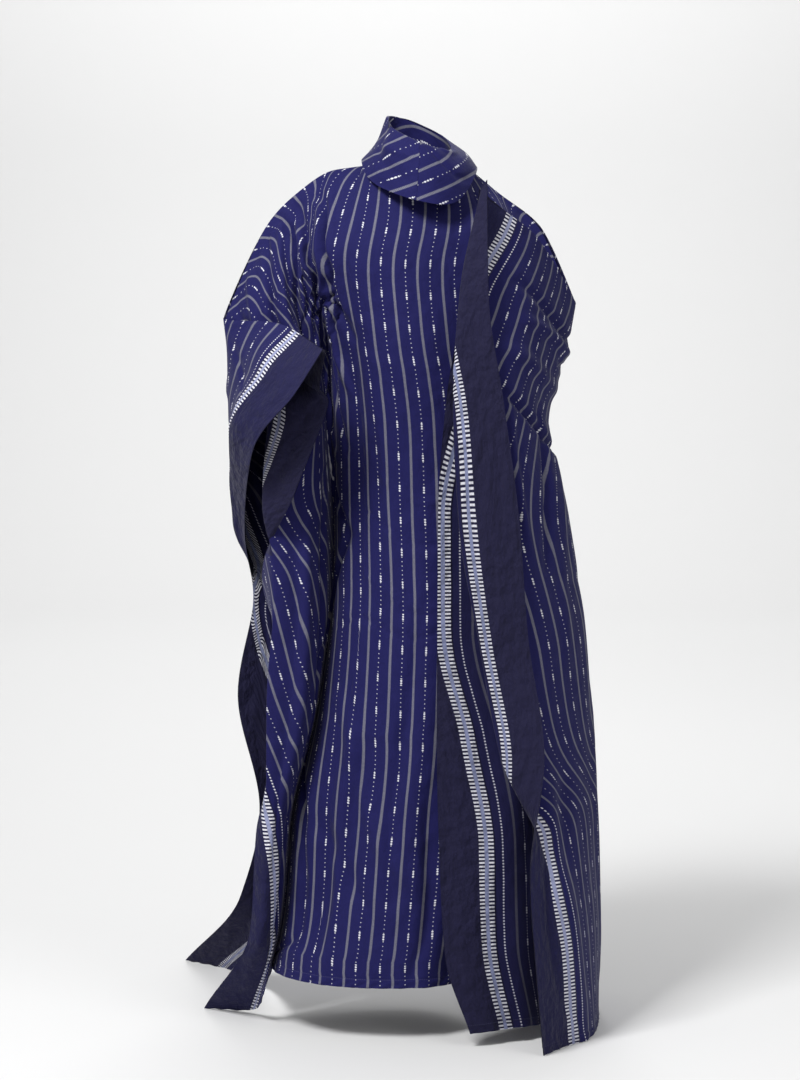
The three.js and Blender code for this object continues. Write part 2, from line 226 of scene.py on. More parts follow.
wingFrontLeft = [
    {"upper": [214, 20, -95], "turn": [274, 4, -230], "front": [198, -106, -120], "edge": [106, -188, -44]},
    {"upper": [204, -22, -222], "turn": [236, -30, -288], "front": [158, -112, -214],
     "edge": [92, -168, -176]},
    {"upper": [200, 2, -400], "turn": [214, -44, -406], "front": [138, -138, -400],
     "edge": [52, -166, -394]},
    {"upper": [216, 8, -580], "turn": [234, -42, -584], "front": [140, -146, -590],
     "edge": [38, -174, -590]},
    {"upper": [238, 6, -780], "turn": [262, -46, -780], "front": [150, -152, -780],
     "edge": [37, -182, -780]},
    {"upper": [246, 12, -970], "turn": [278, -50, -968], "front": [166, -158, -966],
     "edge": [36, -186, -966]},
    {"upper": [238, 22, -1160], "turn": [268, -54, -1156], "front": [162, -168, -1150],
     "edge": [40, -194, -1150]},
    {"upper": [222, 28, -1320], "turn": [262, -50, -1320], "front": [166, -176, -1316],
     "edge": [50, -200, -1330]},
    {"upper": [206, 30, -1446], "turn": [252, -44, -1476], "front": [186, -164, -1464],
     "edge": [93, -200, -1466]},
]
wingBackLeft = [
    {"upper": [217, 27, -92], "elbow": [280, 9, -228], "fore": [202, -110, -116],
     "fold": [108, -196, -50], "edge": [118, -204, -30]},
    {"upper": [240, 74, -250], "elbow": [262, -4, -322], "fore": [184, -152, -252],
     "fold": [74, -214, -212], "edge": [120, -228, -214]},
    {"upper": [226, 78, -420], "elbow": [233, -16, -438], "fore": [168, -178, -402],
     "fold": [62, -230, -400], "edge": [146, -222, -398]},
    {"upper": [238, 80, -600], "elbow": [260, -22, -600], "fore": [186, -180, -592],
     "fold": [72, -234, -600], "edge": [172, -216, -588]},
    {"upper": [262, 86, -790], "elbow": [298, -24, -780], "fore": [208, -178, -780],
     "fold": [106, -236, -800], "edge": [188, -216, -790]},
    {"upper": [274, 100, -980], "elbow": [313, -14, -980], "fore": [228, -182, -980],
     "fold": [143, -238, -990], "edge": [214, -250, -984]},
    {"upper": [284, 122, -1170], "elbow": [323, -4, -1170], "fore": [264, -204, -1170],
     "fold": [226, -236, -1176], "edge": [190, -268, -1180]},
    {"upper": [280, 160, -1330], "elbow": [327, 16, -1330], "fore": [290, -176, -1330],
     "fold": [244, -224, -1334], "edge": [200, -272, -1338]},
    {"upper": [262, 236, -1486], "elbow": [329, 72, -1489], "fore": [304, -136, -1489],
     "fold": [258, -188, -1489], "edge": [214, -252, -1489]},
]
# the cowl: a row for each direction round the neck, from its seam, over, and down
cowl = [
    {"turn": -90, "stand": [2, -66, 4], "rim": [8, -86, 42], "bulge": [6, -112, 2], "fall": [2, -118, -58]},
    {"turn": -45, "stand": [50, -52, 6], "rim": [50, -68, 30], "bulge": [64, -94, -6],
     "fall": [68, -102, -60]},
    {"turn": 0, "stand": [74, 2, 16], "rim": [62, -10, 40], "bulge": [90, -26, 22], "fall": [106, -32, -2]},
    {"turn": 45, "stand": [54, 56, 26], "rim": [46, 50, 66], "bulge": [72, 66, 44], "fall": [88, 72, 14]},
    {"turn": 90, "stand": [0, 76, 32], "rim": [-4, 68, 92], "bulge": [-2, 94, 62], "fall": [0, 100, 22]},
    {"turn": 135, "stand": [-50, 52, 30], "rim": [-42, 46, 98], "bulge": [-54, 62, 62],
     "fall": [-76, 70, 26]},
    {"turn": 180, "stand": [-62, 2, 26], "rim": [-46, -4, 88], "bulge": [-58, -8, 54],
     "fall": [-92, -8, 15]},
    {"turn": 225, "stand": [-46, -46, 12], "rim": [-34, -52, 66], "bulge": [-48, -74, 28],
     "fall": [-70, -68, -26]},
]
# the largest soft folds: where across and down they lie, how deep and wide
bodyFrontFolds = [
    {"across": 0.22, "drift": 0.02, "from": 0.9, "to": 4.2, "depth": 9, "width": 0.06},
    {"across": 0.5, "drift": 0.06, "from": 3.6, "to": 6.2, "depth": -10, "width": 0.08},
    {"across": 0.36, "drift": -0.14, "from": 5.2, "to": 7.6, "depth": 22, "width": 0.12},
    {"across": 0.68, "drift": -0.04, "from": 5.6, "to": 8.6, "depth": -12, "width": 0.09},
    {"across": 0.86, "drift": 0, "from": 2.4, "to": 8.6, "depth": 10, "width": 0.06},
]
bodyBackFolds = [
    {"across": 0.24, "drift": 0.02, "from": 1.4, "to": 5, "depth": -10, "width": 0.07},
    {"across": 0.44, "drift": -0.04, "from": 3.4, "to": 8.6, "depth": -16, "width": 0.09},
    {"across": 0.62, "drift": 0.05, "from": 4, "to": 8.6, "depth": 18, "width": 0.08},
    {"across": 0.8, "drift": 0.02, "from": 2, "to": 7.6, "depth": -12, "width": 0.07},
]
wingFrontRightFolds = [
    {"across": 0.32, "drift": 0.02, "from": 0.2, "to": 2.1, "depth": 10, "width": 0.07},
    {"across": 0.55, "drift": -0.06, "from": 2.6, "to": 6.8, "depth": -8, "width": 0.08},
]
wingBackRightFolds = [
    {"across": 0.34, "drift": 0.04, "from": 0.6, "to": 4.4, "depth": -14, "width": 0.09},
    {"across": 0.62, "drift": 0.03, "from": 0.1, "to": 2.4, "depth": 10, "width": 0.08},
    {"across": 0.5, "drift": -0.06, "from": 4.4, "to": 8.4, "depth": 16, "width": 0.1},
]
wingFrontLeftFolds = [
    {"across": 0.72, "drift": 0.05, "from": 3.2, "to": 6.4, "depth": 10, "width": 0.07},
    {"across": 0.82, "drift": 0, "from": 6.2, "to": 8.8, "depth": -9, "width": 0.07},
]
wingBackLeftFolds = [
    {"across": 0.3, "drift": 0.02, "from": 0.6, "to": 8.4, "depth": -12, "width": 0.08},
    {"across": 0.48, "drift": -0.04, "from": 2, "to": 3.6, "depth": 12, "width": 0.07},
    {"across": 0.56, "drift": 0.03, "from": 4.2, "to": 8.2, "depth": -9, "width": 0.06},
]


# a point on the side line; side is -1 on the front cloth and 1 on the back cloth
def sidePoint(table, side, at):
    y = column(table, "y", at) + side * (column(table, "open", at) / 2 + lap)
    return np.stack([column(table, "x", at), y, column(table, "z", at)], -1)


# the top edge of a body half: shoulder, neckline, shoulder
def topEdge(side, across):
    y = side * lap
    top = np.zeros((len(across), 3))
    for k, part in enumerate(across):
        if part < 0.25 or part > 0.75:
            out = 1 - part * 4 if part < 0.25 else part * 4 - 3
            end = np.array([-neck["halfWidth"] if part < 0.5 else neck["halfWidth"],
                            neck["y"] + y, neck["side"]])
            far = sidePoint(sideRight if part < 0.5 else sideLeft, side, 0)[0]
            top[k] = end + (far - end) * out
        else:
            angle = (part - 0.25) * 2 * math.pi
            reach = neck["front"] if side < 0 else neck["back"]
            rise = -neck["frontDrop"] if side < 0 else neck["backRise"]
            top[k] = (-neck["halfWidth"] * math.cos(angle),
                      neck["y"] + y + side * reach * math.sin(angle),
                      neck["side"] + rise * math.sin(angle) ** 2)
    return top


def bodyGrid(side, across, at):
    right, left = sidePoint(sideRight, side, at), sidePoint(sideLeft, side, at)
    out = ((1 - np.cos(np.pi * across)) / 2)[None, :, None]
    points = right[:, None] * (1 - out) + left[:, None] * out
    reach = column(tube, "front" if side < 0 else "back", at)[:, None]
    points[..., 1] += (reach - points[..., 1]) * np.sin(np.pi * across)[None]
    top = topEdge(side, across)
    ease = np.where(at < 1, 1 - at * at * (3 - 2 * at), 0)[:, None, None]
    return points * (1 - ease) + top[None] * ease


def wingGrid(table, sideTable, side, lines, across, at):
    inner = sidePoint(sideTable, side, at)
    inner[:, 0] += math.copysign(wingStart, sideTable[0]["x"])
    stations = [inner] + [smooth([row[line] for row in table], at) for line in lines]
    return smooth(np.stack(stations), across * len(lines)).transpose(1, 0, 2)


def cowlGrid(across, at):
    where = across * len(cowl)
    i = np.minimum(np.floor(where).astype(int), len(cowl) - 1)
    f = (where - i)[:, None]

    def roundNeck(name):
        spots = np.array([row[name] for row in cowl], float)
        a, b, c, d = (spots[(i + k) % len(cowl)] for k in (-1, 0, 1, 2))
        return 0.5 * (2 * b + (c - a) * f + (2 * a - 5 * b + 4 * c - d) * f**2
                      + (3 * b - a - 3 * c + d) * f**3)

    turn = (across * 2 - 0.5) * math.pi
    front = np.sin(turn) < 0
    inset = neck["cowlInset"]
    rise = np.where(front, -neck["frontDrop"], neck["backRise"])
    base = np.stack([
        (neck["halfWidth"] - inset) * np.cos(turn),
        neck["y"] + (np.where(front, neck["front"], neck["back"]) - inset) * np.sin(turn),
        neck["side"] + rise * np.sin(turn)**2 + neck["cowlLift"],
    ], -1)
    stations = [base] + [roundNeck(name) for name in ("stand", "rim", "bulge", "fall")]
    return smooth(np.stack(stations), at * 4)


# directions square to the cloth, all to the same side of it
def gridNormals(points):
    padded = np.pad(points, ((1, 1), (1, 1), (0, 0)), mode="edge")
    along = padded[1:-1, 2:] - padded[1:-1, :-2]
    down = padded[2:, 1:-1] - padded[:-2, 1:-1]
    normals = np.cross(along, down)
    return normals / np.maximum(np.linalg.norm(normals, axis=-1, keepdims=True), 1e-9)


# lengths along the cloth, across it in s and down it in v
def gridLengths(points):
    s = np.zeros(points.shape[:2])
    v = np.zeros(points.shape[:2])
    s[:, 1:] = np.cumsum(np.linalg.norm(np.diff(points, axis=1), axis=-1), 1)
    v[1:] = np.cumsum(np.linalg.norm(np.diff(points, axis=0), axis=-1), 0)
    return s, v


# the largest folds, shared with the solid form
def pressFolds(points, folds, across, at):
    push = np.zeros(points.shape[:2])
    for fold in folds:
        f = np.clip((at - fold["from"]) / (fold["to"] - fold["from"]), 0, 1)[:, None]
        off = (across[None] - fold["across"] - fold["drift"] * f) / fold["width"]
        push += fold["depth"] * np.sin(np.pi * f) ** 0.7 * np.exp(-off * off)
    still = np.minimum(1, across * 8) * np.minimum(1, (1 - across) * 8)    # near the edges
    return points + gridNormals(points) * (push * still[None])[..., None]


def nearestIndex(values, value):
    return int(np.argmin(np.abs(values - value)))


creaseEnd = 0.03    # how far into its rise a crease begins, and how far short of its end it stops
creaseLip = 0.55    # how much the cloth lifts beside a trough, or sinks beside a ridge


# smaller creases, each a soft trough or ridge along a bowed line, placed one by one
def pressCreases(points, creases, across, at, edgeCalm):
    s, v = gridLengths(points)
    push = np.zeros(points.shape[:2])
    for crease in creases:
        (a0, t0), (a1, t1) = crease["start"], crease["end"]
        i0, j0 = nearestIndex(across, a0), nearestIndex(at, t0)
        i1, j1 = nearestIndex(across, a1), nearestIndex(at, t1)
        p0 = np.array([s[j0, i0], v[j0, i0]])
        run = np.array([s[j1, i1], v[j1, i1]]) - p0
        length = max(float(np.hypot(*run)), 1.0)
        run /= length
        ds, dv = s - p0[0], v - p0[1]
        f = np.clip((ds * run[0] + dv * run[1]) / length, 0, 1)
        beyond = np.abs((ds * run[0] + dv * run[1]) / length - f) * length
        offset = ds * -run[1] + dv * run[0] - crease["bow"] * 4 * f * (1 - f)
        x = np.hypot(offset, beyond) / crease["width"]
        taper = np.sin(np.pi * (f * (1 - 2 * creaseEnd) + creaseEnd)) ** 0.6
        push += crease["depth"] * taper * (1 - creaseLip * x * x) * np.exp(-x * x)
    far = np.minimum(s, s[:, -1:] - s)
    still = np.clip(far / edgeCalm, 0, 1) * np.clip(v / edgeCalm, 0, 1)
    return points + gridNormals(points) * (push * still)[..., None]


hem = {
    "width": 15, "thick": 0.5, "ramp": 3, "groove": 0.7, "grooveWidth": 1.6,
    "ripple": 0.9, "rippleReach": 11, "waveLength": 5.1, "wander": 37,
}


# a hem turned up once and stitched: thicker below the stitches, drawn in along them
def turnHem(points, side):
    s, v = gridLengths(points)
    left = v[-1:] - v
    push = hem["thick"] * np.clip((hem["width"] - left) / hem["ramp"] + 0.5, 0, 1)
    push = push - hem["groove"] * np.exp(-((left - hem["width"]) / hem["grooveWidth"]) ** 2)
    ends = np.clip(s / hem["width"], 0, 1) * np.clip((s[:, -1:] - s) / hem["width"], 0, 1)
    wave = np.sin(s / hem["waveLength"] + 2 * np.sin(s / hem["wander"]))
    push = push + hem["ripple"] * wave * np.exp(-(left / hem["rippleReach"]) ** 2) * ends
    return points + gridNormals(points) * (push * side)[..., None]


grid = {
    "rows": 250, "hemFrom": 7.8, "hemRows": 17,    # rows stand closer together in the hem
    "bodyColumns": 128, "wingColumns": 100, "cowlColumns": 220, "cowlRows": 60,
}
bodyColumns, wingColumns = grid["bodyColumns"], grid["wingColumns"]
downSteps = np.concatenate([
    np.linspace(0, grid["hemFrom"], grid["rows"], endpoint=False),
    np.linspace(grid["hemFrom"], len(sideRight) - 1, grid["hemRows"]),
])


# how much of the turn between body and wing is eased at each level, and how many columns away
turnEase = [{"at": 0, "ease": 1}, {"at": 1.4, "ease": 1}, {"at": 2.2, "ease": 0.25}, {"at": 8, "ease": 0.1}]
easing = {"reach": 7, "passes": 60}


def easeTurn(points, seamColumn):
    columns = np.abs(np.arange(points.shape[1]) - seamColumn)
    hold = np.interp(downSteps, [row["at"] for row in turnEase], [row["ease"] for row in turnEase])
    weight = (hold[:, None] * np.exp(-(columns / easing["reach"]) ** 2)[None])[..., None]
    for _ in range(easing["passes"]):
        middle = points.copy()
        middle[:, 1:-1] = (points[:, :-2] + points[:, 2:]) / 2
        points = points + 0.5 * weight * (middle - points)
    return points


farOff = 500.0    # stands for a hem or a seam that a piece doesn't have there


# a shell of the cloth's thickness: right side, wrong side and the cut edges
def makeCloth(name, points, normals, side, lay, hemmed=True):
    rows, columns = points.shape[0] - 1, points.shape[1] - 1
    out = normals * side
    flat, outFlat = points.reshape(-1, 3), out.reshape(-1, 3)
    total = len(flat)
    spots = np.concatenate([flat + outFlat * wall / 2, flat - outFlat * wall / 2]) * mm
    j, i = np.mgrid[0:rows, 0:columns]
    a = (j * (columns + 1) + i).ravel()
    quads = np.stack([a, a + 1, a + columns + 2, a + columns + 1], 1)
    if side < 0:
        quads = quads[:, ::-1]
    top = np.arange(columns + 1)
    rim = np.concatenate([top, (np.arange(1, rows + 1)) * (columns + 1) + columns,
                          rows * (columns + 1) + top[-2::-1],
                          np.arange(rows - 1, -1, -1) * (columns + 1)])
    near, after = rim[:-1], rim[1:]
    edge = np.stack([after, near, near + total, after + total], 1)
    if side < 0:
        edge = edge[:, ::-1]
    faces = np.concatenate([quads, quads[:, ::-1] + total, edge])
    mesh = bpy.data.meshes.new(name)
    mesh.from_pydata(spots.tolist(), [], faces.tolist())
    slots = np.repeat([0, 1, 0], [len(quads), len(quads), len(edge)]).astype(np.int32)
    mesh.polygons.foreach_set("material_index", slots)
    mesh.polygons.foreach_set("use_smooth", [True] * len(faces))
    corners = faces.ravel() % total
    s, v = gridLengths(points)
    u, down = lay["u"].ravel()[corners], lay["v"].ravel()[corners]
    if "flapU" in lay:    # cells past the fold are measured from their own edge
        cell = np.concatenate([a, a, near])
        onFlap = np.repeat(lay["onFlap"].ravel()[cell], 4)
        u = np.where(onFlap, lay["flapU"].ravel()[corners], u)
    clothLay = mesh.uv_layers.new(name="clothLay")
    clothLay.data.foreach_set("uv", (np.stack([u, down], 1) * mm).ravel())
    toHem = v[-1:] - v if hemmed else np.full_like(v, farOff)
    toSeam = lay.get("toSeam", np.full_like(v, farOff))
    for layer, values in (("hemLay", (s, toHem)), ("seamLay", (v, toSeam))):
        edgeLay = mesh.uv_layers.new(name=layer)
        pair = np.stack([value.ravel()[corners] for value in values], 1)
        edgeLay.data.foreach_set("uv", (pair * mm).ravel())
    for material in (rightCloth, wrongCloth):
        mesh.materials.append(material)
    mesh.normals_split_custom_set_from_vertices(np.concatenate([outFlat, -outFlat]).tolist())
    piece = bpy.data.objects.new(name, mesh)
    bpy.context.scene.collection.objects.link(piece)
    width, length = s[:, -1], v[-1]
    area = np.linalg.norm(np.cross(points[1:, :-1] - points[:-1, :-1],
                                   points[:-1, 1:] - points[:-1, :-1]), axis=-1).sum() / 1e6
    print(f"{name}: across {width.mean():.0f} ({width.min():.0f}-{width.max():.0f}) mm, "
          f"down {length.mean():.0f} ({length.min():.0f}-{length.max():.0f}) mm, "
          f"{area:.3f} m2, {len(faces)} faces")
    return piece


# the woven cloth: stripes, dotted lines and a ladder beside the plain selvedge band
weave = {
    "ground": (0.0112, 0.0108, 0.098), "groundDeep": (0.0046, 0.0045, 0.042),
    "stripe": (0.150, 0.150, 0.190), "dot": (0.62, 0.62, 0.68),
    "band": (0.0095, 0.009, 0.028), "rung": (0.66, 0.66, 0.72), "ladder": (0.26, 0.28, 0.44),
    # sizes in mm, counted from the selvedge across the cloth
    "repeat": 42.0, "firstStripe": 149.0, "stripeHalf": 2.2, "chainPitch": 1.9, "chainHalf": 0.55,
    "fieldFrom": (133.0, 135.0), "dotPitch": 7.5, "dotRadius": 0.95,
    "dashPitch": 55.0, "dashHalf": 6.3, "boldPitch": 4.2, "boldRadius": 1.7,
    "beadMiddle": 127.0, "beadPitch": 5.2, "beadRadius": 1.5, "bandTo": (112.2, 113.6),
    "ladderMiddle": 98.0, "ladderHalf": (2.9, 3.8), "rungFromMiddle": 8.3, "rungHalf": 4.8,
    "rungPitch": 6.4, "rungThick": 1.55,
    "stitch": (0.05, 0.05, 0.11), "stitchHalf": 0.5, "hemStitchPitch": 3.8, "hemStitchHalf": 1.35,
    "seamStitchFrom": 3.0, "seamStitchPitch": 3.4, "seamStitchHalf": 1.2,
    "wander": 5.0, "roughness": 0.82, "sheen": 0.05, "sheenRoughness": 0.45, "specular": 0.18,
    "yarnHeight": 0.35, "dotHeight": 0.5, "crinkleHeight": 5.0, "bandCrinkle": 15.0, "drapeHeight": 14.0,
    "bumpStrength": 0.55, "bumpDistance": 0.0012,    # the distance in metres
}
wrongSide = {
    "ground": (0.0100, 0.0096, 0.058), "groundDeep": (0.0048, 0.0046, 0.029),
    "stripe": (0.070, 0.070, 0.098), "dot": (0.46, 0.46, 0.54),
    "band": (0.010, 0.009, 0.026), "rung": (0.58, 0.58, 0.64), "ladder": (0.18, 0.20, 0.33),
    "dotPitch": 5.0, "sheen": 0.04,
}


class Wiring:
    def __init__(self, tree):
        self.tree = tree

    def link(self, source, target):
        if isinstance(source, (int, float)):
            target.default_value = source
        else:
            self.tree.links.new(source, target)

    def math(self, operation, a, b=None, c=None):
        node = self.tree.nodes.new("ShaderNodeMath")
        node.operation = operation
        for k, value in enumerate((a, b, c)):
            if value is not None:
                self.link(value, node.inputs[k])
        return node.outputs[0]

    # 1 on a line of this half width, soft at its borders
    def line(self, value, middle, half, soft):
        gap = self.math("ABSOLUTE", self.math("SUBTRACT", value, middle))
        return self.fall(gap, half - soft, half + soft)

    # 1 up to near, 0 from far on
    def fall(self, value, near, far):
        node = self.tree.nodes.new("ShaderNodeMapRange")
        node.interpolation_type = "SMOOTHSTEP"
        node.inputs["From Min"].default_value = near
        node.inputs["From Max"].default_value = far
        node.inputs["To Min"].default_value = 1
        node.inputs["To Max"].default_value = 0
        self.link(value, node.inputs["Value"])
        return node.outputs[0]

    def wrap(self, value, half):
        return self.math("WRAP", value, half, -half)

    def times(self, a, b):
        return self.math("MULTIPLY", a, b)

    # noise with its own scale across and along the cloth
    def cloudy(self, u, v, across, along, detail=2.0):
        spot = self.tree.nodes.new("ShaderNodeCombineXYZ")
        self.link(self.times(u, across), spot.inputs[0])
        self.link(self.times(v, along), spot.inputs[1])
        node = self.tree.nodes.new("ShaderNodeTexNoise")
        node.inputs["Scale"].default_value = 1.0
        node.inputs["Detail"].default_value = detail
        self.tree.links.new(spot.outputs[0], node.inputs["Vector"])
        return node.outputs["Fac"]

    def mix(self, factor, a, b):
        node = self.tree.nodes.new("ShaderNodeMix")
        node.data_type = "RGBA"
        self.link(factor, node.inputs["Factor"])
        for value, socket in ((a, node.inputs[6]), (b, node.inputs[7])):
            if isinstance(value, tuple):
                socket.default_value = (*value, 1)
            else:
                self.tree.links.new(value, socket)
        return node.outputs[2]

    def dots(self, across, along, radius):
        far = self.math("SQRT", self.math("ADD", self.times(across, across), self.times(along, along)))
        return self.fall(far, radius * 0.6, radius * 1.3)


def wovenCloth(name, changes):
    look = {**weave, **changes}
    material = bpy.data.materials.new(name)
    material.use_nodes = True
    tree = material.node_tree
    shader = tree.nodes["Principled BSDF"]
    w = Wiring(tree)

    def layOf(layer):
        node = tree.nodes.new("ShaderNodeUVMap")
        node.uv_map = layer
        parts = tree.nodes.new("ShaderNodeSeparateXYZ")
        tree.links.new(node.outputs[0], parts.inputs[0])
        return [w.times(parts.outputs[k], 1 / mm) for k in (0, 1)]

    u, v = layOf("clothLay")
    side, toHem = layOf("hemLay")
    along, toSeam = layOf("seamLay")
    drift = w.cloudy(u, v, 0.02, 0.006)
    u = w.math("ADD", u, w.times(w.math("SUBTRACT", drift, 0.5), look["wander"]))
    yarns = w.cloudy(u, v, 1.1, 0.05, 3.0)
    picks = w.cloudy(u, v, 0.06, 0.9, 3.0)
    fleck = w.cloudy(u, v, 0.55, 0.28)

    # ground, streaked along the yarns
    streak = w.times(w.math("ADD", yarns, picks), 0.5)
    color = w.mix(streak, look["groundDeep"], look["ground"])

    # stripes, whose threads cross in a fine chain
    half = look["repeat"] / 2
    field = w.math("SUBTRACT", 1.0, w.fall(u, *look["fieldFrom"]))
    fromStripe = w.wrap(w.math("SUBTRACT", u, look["firstStripe"]), half)
    stripe = w.line(fromStripe, 0.0, look["stripeHalf"], 0.7)
    chain = w.line(w.wrap(v, look["chainPitch"] / 2), 0.0, look["chainHalf"], 0.3)
    heather = w.times(w.math("ADD", 0.5, fleck), w.math("ADD", 0.55, w.times(chain, 0.45)))
    stripe = w.math("MINIMUM", w.times(stripe, heather), 1.0)
    color = w.mix(w.times(stripe, field), color, look["stripe"])

    # dotted line midway, with a short bolder dash at each dash pitch
    fromDots = w.wrap(w.math("SUBTRACT", u, look["firstStripe"] + half), half)
    small = w.dots(fromDots, w.wrap(v, look["dotPitch"] / 2), look["dotRadius"])
    inDash = w.line(w.wrap(v, look["dashPitch"] / 2), 0.0, look["dashHalf"], 0.3)
    bold = w.times(w.dots(fromDots, w.wrap(v, look["boldPitch"] / 2), look["boldRadius"]), inDash)
    dotted = w.times(w.math("MAXIMUM", w.times(small, 0.7), bold), field)
    color = w.mix(dotted, color, look["dot"])

    # border: bead line, ladder and the plain selvedge band
    fromBeads = w.math("SUBTRACT", u, look["beadMiddle"])
    bead = w.dots(fromBeads, w.wrap(v, look["beadPitch"] / 2), look["beadRadius"])
    color = w.mix(bead, color, look["dot"])
    inBand = w.fall(u, *look["bandTo"])
    bandColor = w.mix(w.times(yarns, 0.5), look["band"], look["ground"])
    color = w.mix(inBand, color, bandColor)
    fromMiddle = w.math("ABSOLUTE", w.math("SUBTRACT", u, look["ladderMiddle"]))
    rungs = w.times(w.line(fromMiddle, look["rungFromMiddle"], look["rungHalf"], 0.5),
                    w.line(w.wrap(v, look["rungPitch"] / 2), 0.0, look["rungThick"], 0.4))
    color = w.mix(w.fall(fromMiddle, *look["ladderHalf"]), color, look["ladder"])
    color = w.mix(rungs, color, look["rung"])

    # stitches of the hem and of the side seams
    def stitches(across, middle, run, pitch, length):
        row = w.line(across, middle, look["stitchHalf"], 0.25)
        return w.times(row, w.line(w.wrap(run, pitch / 2), 0.0, length, 0.25))

    hemStitches = stitches(toHem, hem["width"], side, look["hemStitchPitch"], look["hemStitchHalf"])
    seamStitches = stitches(toSeam, look["seamStitchFrom"], along,
                            look["seamStitchPitch"], look["seamStitchHalf"])
    stitch = w.math("MAXIMUM", hemStitches, seamStitches)
    color = w.mix(w.times(stitch, 0.6), color, look["stitch"])
    tree.links.new(color, shader.inputs["Base Color"])

    rough = w.math("ADD", look["roughness"] - 0.06, w.times(streak, 0.14))
    tree.links.new(rough, shader.inputs["Roughness"])
    shader.inputs["Sheen Weight"].default_value = look["sheen"]
    shader.inputs["Sheen Roughness"].default_value = look["sheenRoughness"]
    shader.inputs["Specular IOR Level"].default_value = look["specular"]

    # crossing yarns, raised dots and rungs, a slight crinkle and a soft drape
    crinkle = w.cloudy(u, v, 0.045, 0.03, 4.0)
    height = w.math("ADD", w.times(w.math("ADD", yarns, picks), look["yarnHeight"]),
                    w.times(w.math("MAXIMUM", dotted, rungs), look["dotHeight"]))
    crinkleHeight = w.math("ADD", look["crinkleHeight"], w.times(inBand, look["bandCrinkle"]))
    height = w.math("ADD", height, w.times(crinkle, crinkleHeight))
    drape = w.cloudy(u, v, 0.016, 0.010)
    height = w.math("ADD", height, w.times(drape, look["drapeHeight"]))
    bump = tree.nodes.new("ShaderNodeBump")
    bump.inputs["Strength"].default_value = look["bumpStrength"]
    bump.inputs["Distance"].default_value = look["bumpDistance"]
    tree.links.new(height, bump.inputs["Height"])
    tree.links.new(bump.outputs[0], shader.inputs["Normal"])
    return material


rightCloth = wovenCloth("wovenRight", {})
wrongCloth = wovenCloth("wovenWrong", wrongSide)
print("woven cloth ready")

# from selvedge to selvedge there are 30 repeats between the first and the last stripe
clothWidth = weave["firstStripe"] * 2 + weave["repeat"] * 30
# the middle stripe of the front, which wanders as the cloth hangs
middleStripe = [
    {"z": -1500, "x": -42}, {"z": -1361, "x": -38}, {"z": -1011, "x": -9}, {"z": -735, "x": 1},
    {"z": -403, "x": -12}, {"z": -310, "x": -23}, {"z": -226, "x": -38}, {"z": -175, "x": -43},
    {"z": -63, "x": -23}, {"z": 40, "x": -18},
]


armpit = 2          # the side lines are stitched from this level down
smoothRows = 29     # rows over which the middle stripe's way is evened out


def bodyLay(points):
    s, v = gridLengths(points)
    center = points[:, points.shape[1] // 2, 2]
    xs = np.interp(center, [row["z"] for row in middleStripe], [row["x"] for row in middleStripe])
    middle = np.array([np.interp(x, points[k, :, 0], s[k]) for k, x in enumerate(xs)])
    window = np.hanning(smoothRows + 2)[1:-1]    # no kinks in the stripes
    padded = np.pad(middle, smoothRows // 2, mode="edge")
    middle = np.convolve(padded, window / window.sum(), mode="valid")
    below = max(points[0, 0, 2], points[0, -1, 2]) - points[0, :, 2]
    below = np.where(np.abs(np.linspace(-1, 1, len(below))) < 0.5, below, 0)
    toSeam = np.minimum(s, s[:, -1:] - s)
    toSeam = np.where(downSteps[:, None] > armpit, toSeam, farOff)
    return {"u": clothWidth / 2 + s - middle[:, None], "v": v + below[None], "toSeam": toSeam}


wingRules = {
    "trueTo": 130, "easedOver": 160, "leftAtSeam": 30,    # mm: from the selvedge, past that, at the seam
    "least": 0.7, "most": 1.7, "mostToFold": 1.6,         # how far the pattern may be drawn in or out
    "tiedAt": [0, 1.7, 3.2], "tied": [1, 1, 0],           # levels where it runs on from the body
    "foldAt": 0.75, "flapAt": 0.8,                        # where across a wing its edge turns back
}


